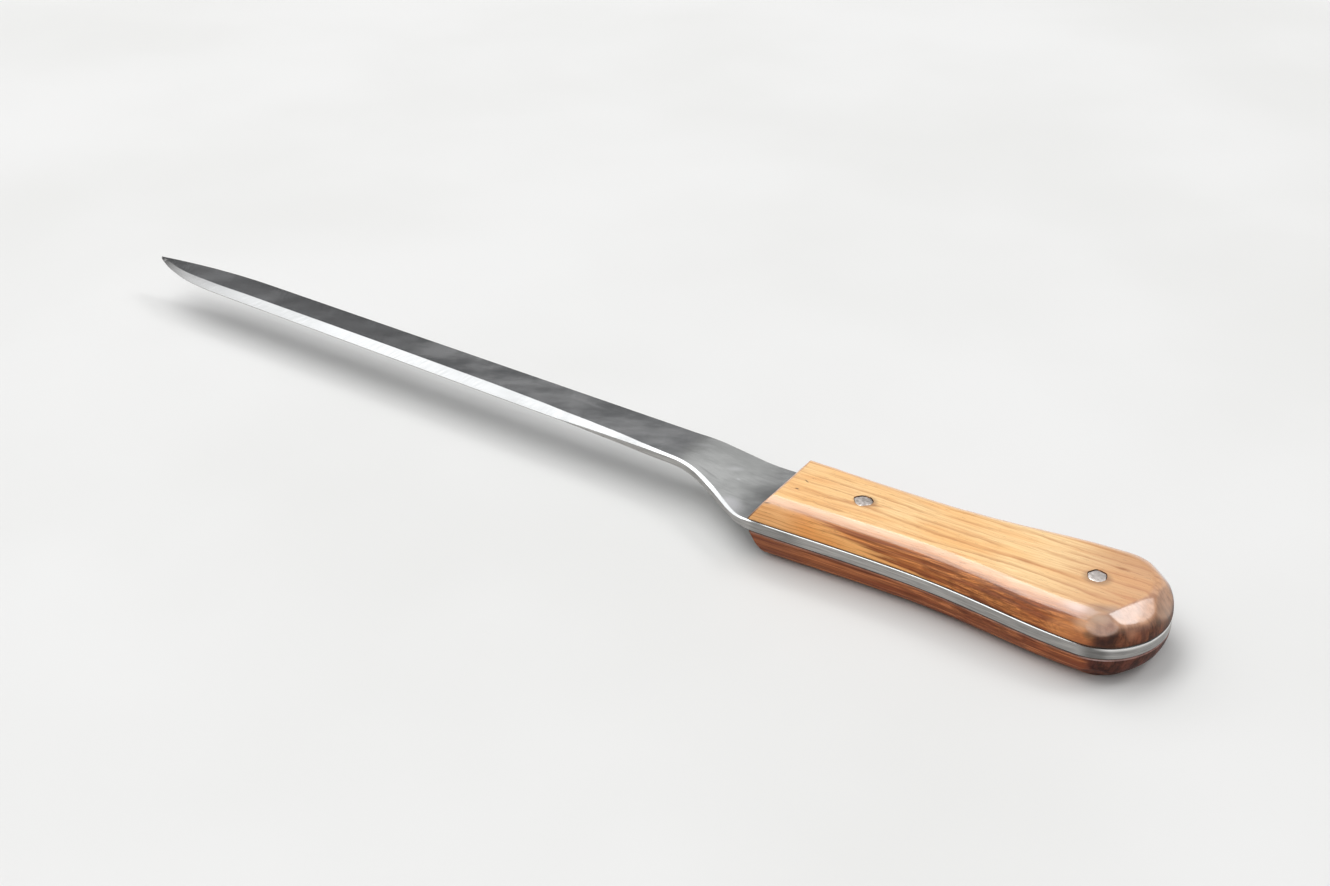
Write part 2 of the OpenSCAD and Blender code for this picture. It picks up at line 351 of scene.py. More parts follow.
class Finish:
    """One procedural material, built by short calls. Lengths are in millimetres."""

    # The mix node has several sockets of one name, so its colours go by number
    MIX_A, MIX_B, MIX_OUT = 6, 7, 2
    SOCKETS = {
        "colour": "Base Color", "roughness": "Roughness", "specular": "Specular IOR Level",
        "coat": "Coat Weight", "coat_ior": "Coat IOR", "coat_roughness": "Coat Roughness",
    }

    def __init__(self, name, metallic=0.0):
        self.material = bpy.data.materials.new(name)
        self.material.use_nodes = True
        self.tree = self.material.node_tree
        self.shader = self.tree.nodes["Principled BSDF"]
        self.shader.inputs["Metallic"].default_value = metallic
        coordinates = self.tree.nodes.new("ShaderNodeTexCoord")
        self.place = coordinates.outputs["Object"]
        self.normal = coordinates.outputs["Normal"]

    def put(self, socket, value):
        if isinstance(value, bpy.types.NodeSocket):
            self.tree.links.new(value, socket)
        elif value is not None:
            socket.default_value = value

    def grid(self, size, turn=(0, 0, 0), centre=(0, 0, 0)):
        """The place from centre, along axes turned by degrees, in units of size along each."""
        node = self.tree.nodes.new("ShaderNodeMapping")
        node.vector_type = "TEXTURE"
        self.put(node.inputs["Vector"], self.place)
        node.inputs["Scale"].default_value = [s * MM for s in size]
        node.inputs["Rotation"].default_value = [math.radians(t) for t in turn]
        node.inputs["Location"].default_value = [c * MM for c in centre]
        return node.outputs["Vector"]

    def noise(self, vector, detail=2.0, roughness=0.5):
        node = self.tree.nodes.new("ShaderNodeTexNoise")
        self.put(node.inputs["Vector"], vector)
        node.inputs["Scale"].default_value = 1.0
        node.inputs["Detail"].default_value = detail
        node.inputs["Roughness"].default_value = roughness
        return node.outputs["Fac"]

    def calc(self, operation, a, b=None, c=None):
        node = self.tree.nodes.new("ShaderNodeMath")
        node.operation = operation
        for socket, value in zip(node.inputs, (a, b, c)):
            self.put(socket, value)
        return node.outputs["Value"]

    def times(self, a, b):
        return self.calc("MULTIPLY", a, b)

    def plus(self, a, b):
        return self.calc("ADD", a, b)

    def times_plus(self, a, b, c):
        """a times b, plus c."""
        return self.calc("MULTIPLY_ADD", a, b, c)

    def span(self, value, low, high, to_low=0.0, to_high=1.0):
        """Smooth step from to_low at low to to_high at high."""
        node = self.tree.nodes.new("ShaderNodeMapRange")
        node.interpolation_type = "SMOOTHSTEP"
        for name, v in (("Value", value), ("From Min", low), ("From Max", high),
                        ("To Min", to_low), ("To Max", to_high)):
            self.put(node.inputs[name], v)
        return node.outputs["Result"]

    def lines(self, value, start, dark, fade):
        """A line in each unit of value, which grows from start to dark and goes from fade to 1."""
        part = self.calc("FRACT", value)
        return self.times(self.span(part, start, dark), self.span(part, fade, 1.0, 1.0, 0.0))

    def blend(self, factor, a, b, kind="MIX"):
        node = self.tree.nodes.new("ShaderNodeMix")
        node.data_type = "RGBA"
        node.blend_type = kind
        self.put(node.inputs["Factor"], factor)
        self.put(node.inputs[self.MIX_A], self.colour(a))
        self.put(node.inputs[self.MIX_B], self.colour(b))
        return node.outputs[self.MIX_OUT]

    def shades(self, value, low, high, a, b):
        """Colour a where value is under low and b where it is over high."""
        return self.blend(self.span(value, low, high), a, b)

    def tint(self, colour, share, strength, paint):
        """The colour under paint, which covers it by share times strength."""
        return self.blend(self.times(share, strength), colour, paint)

    def marks(self, colour, table):
        """The colour under the marks of a table."""
        for place, reach, turn, full, strength, paint in table:
            colour = self.tint(colour, self.near(place, reach, turn, full), strength, paint)
        return colour

    def colour(self, value):
        if isinstance(value, bpy.types.NodeSocket):
            return value
        return (*value, 1.0)

    def axes(self, vector=None):
        """x, y and z of the place in millimetres, or of another vector."""
        node = self.tree.nodes.new("ShaderNodeSeparateXYZ")
        self.put(node.inputs["Vector"], vector or self.grid((1, 1, 1)))
        return node.outputs["X"], node.outputs["Y"], node.outputs["Z"]

    def near(self, centre, reach, turn=0, full=0.0):
        """1 at centre, falling smoothly to 0 at the reach along each axis, turned about Z by
        degrees. It stays 1 up to the share full of the reach."""
        node = self.tree.nodes.new("ShaderNodeVectorMath")
        node.operation = "LENGTH"
        self.put(node.inputs[0], self.grid(reach, (0, 0, turn), centre))
        return self.span(node.outputs["Value"], full, 1.0, 1.0, 0.0)

    def bump(self, height, strength, depth):
        """Adds a bump of that depth in millimetres to the shader's normal."""
        node = self.tree.nodes.new("ShaderNodeBump")
        node.inputs["Strength"].default_value = strength
        node.inputs["Distance"].default_value = depth * MM
        self.put(node.inputs["Height"], height)
        socket = self.shader.inputs["Normal"]
        if socket.is_linked:
            self.put(node.inputs["Normal"], socket.links[0].from_socket)
        self.put(socket, node.outputs["Normal"])

    def set(self, **values):
        """Gives the shader its values and returns the material."""
        for key, value in values.items():
            self.put(self.shader.inputs[self.SOCKETS[key]], value)
        return self.material


# Materials

# Marks are listed by place, reach along each axis, turn about Z in degrees, share of the reach
# at full strength, strength and colour
SOOT, BROWN, BLACK = (0.16, 0.08, 0.05), (0.35, 0.14, 0.05), (0.03, 0.012, 0.01)
WOOD_MARKS = (
    # Soot round the pins
    ((-PIN_X - 0.3, 0.8, HANDLE_T), (4.6, 4.2, 1.5), 0, 0.45, 0.55, SOOT),
    ((PIN_X - 0.5, 0, HANDLE_T), (3.9, 3.4, 1.5), 0, 0.6, 0.5, SOOT),
    ((PIN_X - 3.4, 0.7, HANDLE_T), (3.0, 0.9, 1.0), 8, 0, 0.7, BROWN),
    # Specks, a crack and two brown spots of the upper face
    ((49.6, 4.2, HANDLE_T), (0.9, 0.5, 0.6), 0, 0, 0.9, BLACK),
    ((49.2, -0.5, HANDLE_T), (1.3, 0.35, 0.6), -30, 0, 0.8, BLACK),
    ((54.0, 12.8, 17.2), (1.9, 0.25, 1.2), 12, 0, 0.9, BLACK),
    ((-36.2, -6.2, HANDLE_T), (2.6, 1.0, 1.0), 6, 0, 0.75, BROWN),
    ((-14.6, 3.6, HANDLE_T), (4.5, 1.6, 1.0), 0, 0, 0.35, BROWN),
    # Near corner and end of the butt: painted sheen, painted highlights and painted shade on its facets
    # and shoulder, among spots of darker and redder wood
    # Painted sheen and painted shade on the corner facets
    ((-37.0, 14.8, 17.0), (4.6, 4.6, 3.5), 0, 0, 0.72, (0.42, 0.28, 0.20)),
    ((-37.9, 12.6, 18.2), (3.8, 2.6, 1.6), 0, 0, 0.6, (0.28, 0.17, 0.13)),
    ((-40.5, 12.0, 17.6), (3.4, 3.8, 2.4), 0, 0, 0.75, (0.36, 0.25, 0.20)),
    # Painted shade under the corner
    ((-40.2, 17.4, 12.4), (4.4, 4.0, 3.0), 0, 0, 0.85, BLACK),
    ((-46.5, 10.5, 13.2), (3.4, 4.0, 3.0), 0, 0, 0.4, (0.42, 0.13, 0.06)),
    # Painted shade low on the near side at the corner
    ((-35.5, 18.6, 12.0), (4.5, 3.0, 3.2), 0, 0, 0.9, (0.40, 0.135, 0.05)),
    ((-35.6, 13.8, 18.1), (3.5, 2.6, 1.4), 0, 0, 0.45, (0.45, 0.28, 0.20)),
    # Painted shade low on the corner facet and painted light high on it
    ((-38.5, 16.5, 14.6), (4.0, 3.5, 2.0), 0, 0, 0.4, (0.22, 0.12, 0.08)),
    ((-38.3, 15.4, 17.3), (4.0, 3.0, 1.6), 0, 0, 0.5, (0.66, 0.48, 0.36)),
    # Painted highlight where the shoulder's highlight runs lower
    ((-35.5, 17.4, 15.6), (4.0, 3.0, 2.4), 0, 0, 0.5, (0.90, 0.55, 0.33)),
    ((-50.0, 1.0, 15.0), (4.5, 7.0, 4.5), 0, 0, 0.5, (0.40, 0.27, 0.19)),
    # Painted highlight that whitens the shoulder near the butt
    ((-32.5, 14.6, 17.7), (6.0, 2.4, 1.8), 0, 0, 0.5, (0.75, 0.62, 0.60)),
    ((-37.3, 18.1, 13.8), (1.9, 2.2, 1.6), 0, 0.3, 0.6, (0.16, 0.09, 0.05)),
    # Painted shade under the corner facet
    ((-42.2, 16.5, 13.7), (2.4, 2.2, 1.8), 0, 0, 0.7, (0.04, 0.015, 0.01)),
    ((-45.8, 13.0, 14.1), (2.5, 2.6, 2.2), 0, 0, 0.5, (0.56, 0.25, 0.14)),
    ((-48.2, 10.6, 13.4), (1.1, 1.3, 2.0), 0, 0, 0.5, (0.10, 0.04, 0.03)),
)
# Bright dents and a scuff of the crank, a painted highlight at its near edge, a painted dark reflection of
# the handle beside it, and stains along the blade
BRIGHT, STAIN_AND_DARK_REFLECTION = (0.95, 0.95, 0.97), (0.22, 0.22, 0.22)
STEEL_MARKS = (
    # Painted dark reflection of the handle's front end on the steel beside it
    ((59.5, 0.5, 10.7), (6.0, 8.5, 3.0), -8, 0, 0.55, STAIN_AND_DARK_REFLECTION),
    ((74.0, -5.3, 11.5), (3.4, 1.6, 3.0), 35, 0, 0.6, BRIGHT),
    # Painted highlight at the near edge of the crank
    ((66.5, 10.4, 10.9), (5.5, 4.6, 3.0), -25, 0.3, 0.95, BRIGHT),
    ((70.9, -1.5, 10.8), (0.9, 0.6, 2.0), 0, 0, 0.9, BRIGHT),
    ((88.0, -9.0, 13.0), (5.0, 1.3, 3.0), 20, 0, 0.35, BRIGHT),
    ((79.0, 1.5, 12.5), (6.0, 0.8, 3.0), -14, 0, 0.3, STAIN_AND_DARK_REFLECTION),
    ((128.0, -12.0, 14.0), (9.0, 1.2, 3.0), -6, 0, 0.3, BRIGHT),
    ((233.0, -20.0, 14.0), (14.0, 1.6, 3.0), -4, 0, 0.35, STAIN_AND_DARK_REFLECTION),
)
# Where the oil film is worn: place, reach along each axis, and the share that is gone
FILM_WEAR = (
    ((-36.9, 14.4, 17.0), (4.2, 4.6, 3.5), 0.8),
    ((-48.5, 3.0, 16.5), (5.5, 7.5, 5.0), 0.7),
    ((-47.3, 8.8, 16.1), (2.6, 3.0, 1.9), 0.5),
)
# Distance between the wide and between the fine lines of the growth rings, and their slope
WIDE_RING, FINE_RING, RING_SLOPE = 0.95, 0.317, 0.27
# Where the rings swirl round the near corner of the butt, and how far
SWIRL_AT, SWIRL_REACH = (-32, 19, 12.9), (8, 7, 4.4)
# Slope of the heart's lower limit along the handle
HEART_SLOPE = 0.15
# Refraction of the oil film
FILM_IOR = 1.75


def ring_lines(f, centre, swirl):
    """Wide and fine lines of the growth rings, which are nearly level layers, so that their
    lines run along the faces."""
    _, y, z = f.axes()
    bow = f.noise(f.grid((70, 16, 16), centre=centre), 1)
    wiggle = f.noise(f.grid((11, 2.2, 2.2), centre=centre), 3, 0.6)
    level = f.times_plus(y, RING_SLOPE, z)
    for bend, depth in ((bow, 2.4), (wiggle, 0.55), (swirl, 3.4)):
        level = f.times_plus(bend, depth, level)
    wide = f.lines(f.calc("DIVIDE", level, WIDE_RING), 0.5, 0.9, 0.9)
    fine = f.lines(f.calc("DIVIDE", level, FINE_RING), 0.3, 0.85, 0.85)
    broken = f.noise(f.grid((15, 2.2, 2.2), centre=centre), 2)
    return f.times(wide, f.span(broken, 0.36, 0.6)), f.times(fine, f.span(broken, 0.45, 0.75, 1.0, 0.0))


def light_wood(f, centre, wide_line, fine_line):
    """Light wood of the faces. Painted shade makes the sides darker and more orange, and a painted sheen
    with shade makes the rounded shoulder greyer and pinker.
    """
    x, y, _ = f.axes()
    up = f.axes(f.normal)[2]
    drift = f.noise(f.grid((34, 9, 9), centre=centre), 2)
    face = f.shades(drift, 0.32, 0.68, (0.95, 0.55, 0.215), (1.0, 0.71, 0.36))
    side = f.shades(drift, 0.32, 0.68, (0.88, 0.37, 0.105), (0.99, 0.53, 0.195))
    side = f.blend(f.span(x, 40, 50, 0.0, 0.35), side, (1.0, 0.72, 0.38))
    # Painted shade: the sides and the shoulder take the darker, more orange copy of the wood
    colour = f.shades(up, 0.82, 0.995, side, face)
    # Painted sheen and shade on the rounded shoulder
    shoulder_sheen_and_shade = f.times(f.span(up, 0.62, 0.8), f.span(up, 0.95, 0.995, 0.4, 0.0))
    colour = f.blend(shoulder_sheen_and_shade, colour, (0.55, 0.36, 0.30))
    colour = f.tint(colour, fine_line, 0.24, (0.66, 0.29, 0.09))
    colour = f.tint(colour, wide_line, 0.60, (0.50, 0.19, 0.05))
    flame = f.noise(f.grid((19, 1.5, 1.5), centre=centre), 3, 0.6)
    colour = f.blend(f.span(flame, 0.48, 0.7, 0.0, 0.42), colour, (0.70, 0.29, 0.09))
    # Darker towards the butt, most of all on its far side
    far_end = f.times(f.span(y, -2, -11), f.span(x, -20, -36, 0.0, 0.36))
    colour = f.blend(far_end, colour, (0.52, 0.34, 0.17))
    return f.blend(f.span(x, -12, -46, 0.0, 0.55), colour, (0.49, 0.22, 0.135))


def heart_wood(f, centre, wide_line):
    """Dark heart, in bands and streaks."""
    band = f.noise(f.grid((30, 1.3, 1.3), centre=centre), 1)
    streak = f.noise(f.grid((20, 0.36, 0.36), centre=centre), 3, 0.7)
    colour = f.shades(band, 0.34, 0.62, (0.36, 0.088, 0.026), (0.86, 0.31, 0.085))
    colour = f.blend(f.span(streak, 0.36, 0.66, 0.75, 0.0), colour, (0.13, 0.03, 0.009))
    return f.tint(colour, wide_line, 0.5, (0.10, 0.025, 0.008))


def heart_share(f, feather, floor, top):
    """How far the wood is heart: 1 between floor, which rises along the handle, and top."""
    x, _, z = f.axes()
    floor = f.times_plus(x, HEART_SLOPE, floor)
    above = f.span(f.calc("SUBTRACT", f.plus(z, feather), floor), -0.8, 1.2)
    below = f.span(f.times_plus(feather, 0.3, z), top - 1.3, top + 0.3, 1.0, 0.0)
    return f.times(above, below)


def end_grain(f, centre, mottle):
    """End grain, dark and spotted where it stands upright and paler where it was sanded."""
    y = f.axes()[1]
    up = f.axes(f.normal)[2]
    pits = f.noise(f.grid((0.7, 0.5, 0.7), centre=centre), 2)
    upright = f.shades(mottle, 0.40, 0.64, (0.022, 0.009, 0.007), (0.165, 0.055, 0.030))
    upright = f.blend(f.span(pits, 0.5, 0.75, 0.0, 0.6), upright, (0.03, 0.012, 0.009))
    near_side = f.shades(mottle, 0.3, 0.7, (0.41, 0.21, 0.125), (0.67, 0.40, 0.26))
    far_side = f.shades(mottle, 0.3, 0.7, (0.46, 0.21, 0.09), (0.74, 0.40, 0.19))
    sanded = f.shades(y, 2, -9, near_side, far_side)
    return f.shades(up, 0.33, 0.85, upright, sanded)


def corner_curls(f, colour, feather, swirl):
    """Orange curls where the rings turn over the near corner of the butt."""
    curl = f.lines(f.times_plus(feather, 0.16, f.times(swirl, 4.0)), 0.3, 0.8, 0.85)
    curl = f.times(curl, f.span(swirl, 0.02, 0.3, 0.0, 0.3))
    colour = f.blend(f.span(swirl, 0.05, 0.5, 0.0, 0.45), colour, (0.78, 0.32, 0.11))
    return f.blend(curl, colour, (0.34, 0.11, 0.04))


def oil_film(f, mottle):
    """Weight and roughness of the oil film, which is thick on the rubbed faces, thin down the
    sides and worn at the butt."""
    x = f.axes()[0]
    up = f.axes(f.normal)[2]
    weight = f.span(up, 0.2, 0.7, 0.06, 0.88)
    for place, reach, gone in FILM_WEAR:
        weight = f.times(weight, f.times_plus(f.near(place, reach, full=0.3), -gone, 1.0))
    weight = f.plus(weight, f.times(f.span(x, -5, -20, 0.0, 0.12), f.span(up, 0.5, 0.8)))
    gloss = f.plus(f.span(mottle, 0.3, 0.7, 0.11, 0.16), f.span(x, 22, 46, 0.0, 0.09))
    return weight, f.plus(gloss, f.span(x, -34, -40, 0.0, 0.08))


def wood(name, centre, heart_floor, heart_top, tone):
    """Oiled wood with its grain along the handle. centre moves the figure. The dark heart of the
    board lies between heart_top and heart_floor, its lower limit at the middle of the handle.
    tone colours the whole."""
    f = Finish(name)
    x, _, z = f.axes()
    swirl = f.near(SWIRL_AT, SWIRL_REACH)
    wide_line, fine_line = ring_lines(f, centre, swirl)
    # The heart is feathered along the grain
    feather = f.noise(f.grid((26, 1.1, 1.1), centre=centre), 4, 0.65)
    feather = f.times(f.calc("SUBTRACT", feather, 0.5), 6.5)
    colour = light_wood(f, centre, wide_line, fine_line)
    heart = heart_share(f, feather, heart_floor, heart_top)
    colour = f.tint(colour, heart, 0.95, heart_wood(f, centre, wide_line))
    # Painted shade: the lower scale is darker towards the blade
    low_front = f.times(f.span(x, 34, 50), f.span(z, 7, 9, 0.35, 0.0))
    colour = f.blend(low_front, colour, (0.14, 0.05, 0.03))
    fibre = f.noise(f.grid((8, 0.25, 0.25), centre=centre), 3, 0.65)
    pore = f.span(f.noise(f.grid((2.6, 0.13, 0.13), centre=centre), 1), 0.68, 0.75)
    colour = f.blend(f.span(fibre, 0.4, 0.75, 0.0, 0.28), colour, (0.45, 0.17, 0.05))
    colour = f.tint(colour, pore, 0.55, (0.12, 0.04, 0.015))
    mottle = f.noise(f.grid((2.6, 1.7, 6.5), turn=(9, 0, 0), centre=centre), 3, 0.6)
    end = f.span(f.calc("ABSOLUTE", f.axes(f.normal)[0]), 0.06, 0.32)
    colour = f.tint(colour, end, 0.9, end_grain(f, centre, mottle))
    colour = corner_curls(f, colour, feather, swirl)
    # Glue darkened the edge beside the steel
    joint = f.times(f.span(z, 10.6, 10.8), f.span(z, 11.15, 11.5, 0.7, 0.0))
    colour = f.blend(joint, colour, (0.10, 0.04, 0.02))
    colour = f.marks(colour, WOOD_MARKS)
    colour = f.blend(1.0, colour, tone, "MULTIPLY")
    f.bump(fibre, 0.3, 0.03)
    f.bump(pore, 0.3, -0.04)
    film, gloss = oil_film(f, mottle)
    return f.set(colour=colour, roughness=f.span(fibre, 0.25, 0.75, 0.42, 0.55), specular=0.1,
                 coat=film, coat_ior=FILM_IOR, coat_roughness=gloss)


def steel_face():
    """Ground and handled flat of the steel: fine scratches, faint smudges and a crank painted lighter as a
    reflection.
    """
    f = Finish("steel_face", metallic=1.0)
    x = f.axes()[0]
    scratch = f.noise(f.grid((26, 0.25, 0.6)), 2, 0.6)
    across = f.noise(f.grid((0.5, 9, 3), turn=(0, 0, 24)), 2, 0.6)
    smudge = f.noise(f.grid((16, 9, 9), turn=(0, 0, 30)), 3, 0.55)
    colour = f.shades(smudge, 0.3, 0.7, (0.385, 0.395, 0.405), (0.64, 0.645, 0.655))
    colour = f.shades(f.times_plus(smudge, 20, x), 195, 225, colour, (0.36, 0.365, 0.375))
    # Painted reflection: the tilted crank is painted lighter, and beside the handle it stays darker, a
    # painted dark reflection of the handle
    patch = f.times_plus(f.calc("SUBTRACT", smudge, 0.5), 11, x)
    painted_crank_reflection = f.times(f.span(patch, 53, 67), f.span(patch, 87, 93, 1.0, 0.0))
    metal = f.shades(smudge, 0.35, 0.65, (0.60, 0.61, 0.60), (0.80, 0.81, 0.80))
    colour = f.blend(painted_crank_reflection, colour, metal)
    colour = f.blend(f.span(scratch, 0.4, 0.8, 0.0, 0.22), colour, (0.26, 0.26, 0.27))
    colour = f.marks(colour, STEEL_MARKS)
    # Darker towards the tip
    colour = f.blend(f.span(x, 285, 308, 0.0, 0.25), colour, (0.10, 0.10, 0.10))
    f.bump(scratch, 0.1, 0.01)
    roughness = f.plus(f.span(smudge, 0.3, 0.75, 0.14, 0.20), f.span(across, 0.4, 0.8, 0.0, 0.04))
    return f.set(colour=colour, roughness=roughness)


def steel_bevel():
    """Polished bevel of the cutting edge, with the fine marks of the stone across it."""
    f = Finish("steel_bevel", metallic=1.0)
    stone = f.noise(f.grid((0.3, 6, 6), turn=(0, 0, -20)), 2, 0.6)
    cloud = f.noise(f.grid((14, 3, 3)), 2)
    x = f.axes()[0]
    colour = f.shades(stone, 0.3, 0.75, (0.49, 0.50, 0.505), (0.56, 0.57, 0.575))
    # Less polish along the heel and beside the handle
    worn = f.plus(f.span(x, 122, 165, 0.28, 0.0), f.span(x, 160, 215, 0.12, 0.0))
    worn = f.plus(f.times(f.span(x, 68, 78), worn), f.span(x, 54, 58, 0.38, 0.0))
    colour = f.blend(worn, colour, (0.05, 0.05, 0.05))
    # Darker towards the tip, with a bright end
    colour = f.blend(f.span(x, 222, 245, 0.0, 0.12), colour, (0.10, 0.09, 0.08))
    colour = f.blend(f.span(x, 262, 328, 0.0, 0.78), colour, (0.14, 0.135, 0.13))
    colour = f.blend(f.span(x, 304, 315, 0.0, 0.35), colour, (0.5, 0.5, 0.5))
    f.bump(stone, 0.08, 0.01)
    return f.set(colour=colour, roughness=f.span(cloud, 0.3, 0.7, 0.13, 0.2))


def steel_rim():
    """Sanded rim of the tang and the crank."""
    f = Finish("steel_rim", metallic=1.0)
    x, _, z = f.axes()
    sanded = f.noise(f.grid((9, 9, 0.25)), 3, 0.65)
    worn = f.noise(f.grid((6, 3, 1.5)), 3)
    colour = f.shades(sanded, 0.3, 0.75, (0.30, 0.293, 0.282), (0.51, 0.497, 0.48))
    colour = f.blend(f.span(worn, 0.5, 0.75, 0.0, 0.35), colour, (0.24, 0.24, 0.235))
    shaded = f.times(f.span(x, 40, 47), f.span(x, 56, 59, 0.28, 0.0))
    colour = f.blend(f.plus(shaded, f.span(x, 2, -8, 0.0, 0.12)), colour, (0.02, 0.02, 0.02))
    # Darker near corner, and a painted highlight along the upper edge round the butt
    corner = f.near((-39.3, 18.0, 9.2), (4.4, 3.4, 6.0), full=0.3)
    colour = f.tint(colour, corner, 0.5, (0.02, 0.02, 0.02))
    painted_edge_highlight = f.times(f.span(x, -38, -43, 0.0, 0.8), f.span(z, 9.7, 10.5))
    colour = f.blend(painted_edge_highlight, colour, (0.95, 0.94, 0.92))
    f.bump(sanded, 0.2, 0.02)
    return f.set(colour=colour, roughness=f.span(worn, 0.3, 0.7, 0.3, 0.42))


def pin_metal():
    """Hammered and sanded pin ends. The rear one is brighter."""
    f = Finish("pin_metal", metallic=1.0)
    dent = f.noise(f.grid((1.3, 1.3, 1.3)), 2)
    grit = f.noise(f.grid((0.6, 0.15, 0.6), turn=(0, 0, 35)), 2)
    colour = f.shades(dent, 0.35, 0.7, (0.42, 0.38, 0.35), (0.74, 0.68, 0.65))
    colour = f.blend(f.span(f.axes()[0], -10, 10, 0.35, 0.0), colour, (0.95, 0.88, 0.85))
    f.bump(dent, 0.4, 0.1)
    f.bump(grit, 0.2, 0.015)
    return f.set(colour=colour, roughness=f.span(grit, 0.3, 0.7, 0.34, 0.48))


def glue():
    """Dark cured glue, seen only as a line."""
    f = Finish("glue")
    speck = f.noise(f.grid((1.5, 1.5, 0.3)), 2)
    colour = f.shades(speck, 0.35, 0.7, (0.03, 0.02, 0.015), (0.11, 0.06, 0.035))
    return f.set(colour=colour, roughness=f.span(speck, 0.3, 0.7, 0.3, 0.5))


def floor_finish():
    """Pale, slightly cloudy floor with a fine grain."""
    f = Finish("floor")
    cloud = f.noise(f.grid((180, 180, 180)), 3)
    grain = f.noise(f.grid((1.2, 1.2, 1.2)), 2)
    colour = f.shades(cloud, 0.3, 0.7, (0.70, 0.70, 0.69), (0.74, 0.74, 0.735))
    f.bump(grain, 0.15, 0.05)
    return f.set(colour=colour, roughness=0.8)


# Blade with its crank and tang


def edge_profile(x):
    """The columns of the profile at x, smoothed along it."""
    near = x + np.linspace(-PROFILE_REACH, PROFILE_REACH, 5)
    return [float(np.mean(np.interp(near, EDGE_PROFILE[:, 0], column))) for column in EDGE_PROFILE.T[1:]]


def steel_section(x, y0, y1):
    """Points round the steel at x, from the back y0 over the underside to the edge y1 and back."""
    thick, middle = float(steel_t(x)), float(middle_z(x))
    shift, wide, upper, deep, rise = edge_profile(x)
    if x > FRONT_X:
        y1 = min(y1 + shift, FRONT_W / 2)
    # The bevels meet at a thin land
    full = (thick - EDGE_LAND) / 2
    upper, deep = min(upper, full), min(deep, full)
    top, bottom = middle + thick / 2, middle - thick / 2 + rise
    wide = min(wide, (y1 - y0) / 2)
    # The edges of the back are rounded, with one point on the way
    small = min(ARRIS, (y1 - y0) / 4)
    half = small * (1 - math.sqrt(0.5))
    return [
        (x, y0, bottom + small), (x, y0 + half, bottom + half), (x, y0 + small, bottom),
        (x, y1 - wide, bottom), (x, y1, bottom + deep),
        (x, y1, top - upper), (x, y1 - wide, top),
        (x, y0 + small, top), (x, y0 + half, top - half), (x, y0, top - small),
    ]


def steel_sections():
    sections = []
    for angle in np.radians(np.linspace(BUTT_ANGLE, 0, BUTT_SECTIONS)):
        half = BELLY_W / 2 * math.cos(angle)
        sections.append(steel_section(BELLY_X - BUTT_L * math.sin(angle), -half, half))
    for x in np.linspace(BELLY_X, FRONT_X, HANDLE_SECTIONS)[1:]:
        half = float(side_w(x))
        sections.append(steel_section(x, -half, half))
    crowd_x = POINT_X - CROWD_L
    left = 1 - np.linspace(0, 1, POINT_SECTIONS)[1:]
    stations = np.concatenate([
        np.linspace(FRONT_X, HEEL_X, CRANK_SECTIONS)[1:],
        np.linspace(HEEL_X, crowd_x, BLADE_SECTIONS)[1:],
        crowd_x + (POINT_L + CROWD_L) * (1 - left ** CROWD_POWER),
    ])
    for x in stations:
        sections.append(steel_section(x, float(back_y(x)), float(edge_y(x))))
    return sections


def make_steel(face, bevel, rim):
    """The blade, the crank and the tang in one piece of steel."""
    sections = steel_sections()
    count = len(SECTION_SLOTS)
    faces = closed_faces(len(sections), count)
    # The last two faces close the ends
    indices = [SECTION_SLOTS[i % count] for i in range(len(faces) - 2)] + [RIM, RIM]
    piece = new_piece("knife_steel", [p for s in sections for p in s], faces, [face, bevel, rim], indices)
    crease(piece, degrees=30)
    flags = piece.data.attributes["sharp_edge"].data
    for edge in piece.data.edges:
        a, b = edge.vertices
        if a % count == b % count and a % count in SECTION_CREASES:
            flags[edge.index].value = True
    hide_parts("blade")
    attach(piece, "root")


# Scales


def shoulder(x):
    """Radius of the shoulder along the side."""
    reach = FRONT_X - FRONT_LEAN - BELLY_X
    return mix(SHOULDER_FRONT, SHOULDER_BUTT, limit((FRONT_X - FRONT_LEAN - x) / reach))


def butt_shoulder(degrees):
    """Radius of the shoulder round the butt, by the angle from the near side."""
    corner = np.exp(-((degrees - TIGHT_ANGLE) / TIGHT_SPREAD) ** 2) * limit(degrees / TIGHT_START)
    return SHOULDER_BUTT - TIGHT * corner


def scale_ring(radius_share, height, front, extra=0.0):
    """One ring round a scale. radius_share(radius) gives the inset for a shoulder of that radius,
    height(radius) the height, front the x of the front end and extra a further inset."""
    xs = np.linspace(front - CORNER_R, BELLY_X, SIDE_STEPS)
    radius = shoulder(xs)
    side = np.stack([xs, side_w(xs) - radius_share(radius) - extra, height(radius)], 1)
    angle = np.radians(np.linspace(0, 180, BUTT_STEPS + 2))[1:-1]
    radius = butt_shoulder(np.degrees(angle))
    inset = radius_share(radius) + extra
    butt = np.stack([BELLY_X - (BUTT_L - inset) * np.sin(angle),
                     (BELLY_W / 2 - inset) * np.cos(angle), height(radius)], 1)
    half, z = side[0, 1], side[0, 2]
    turn = np.radians(np.linspace(0, 90, CORNER_STEPS + 2))[1:-1]
    corner = np.stack([front - CORNER_R + CORNER_R * np.sin(turn),
                       half - CORNER_R + CORNER_R * np.cos(turn), np.full(CORNER_STEPS, z)], 1)
    across = np.linspace(half - CORNER_R, CORNER_R - half, FRONT_STEPS)
    face = np.stack([np.full(FRONT_STEPS, front), across, np.full(FRONT_STEPS, z)], 1)
    flip = np.array([1, -1, 1])
    return np.concatenate([side, butt, (side * flip)[::-1], (corner * flip), face[::-1], corner[::-1]])


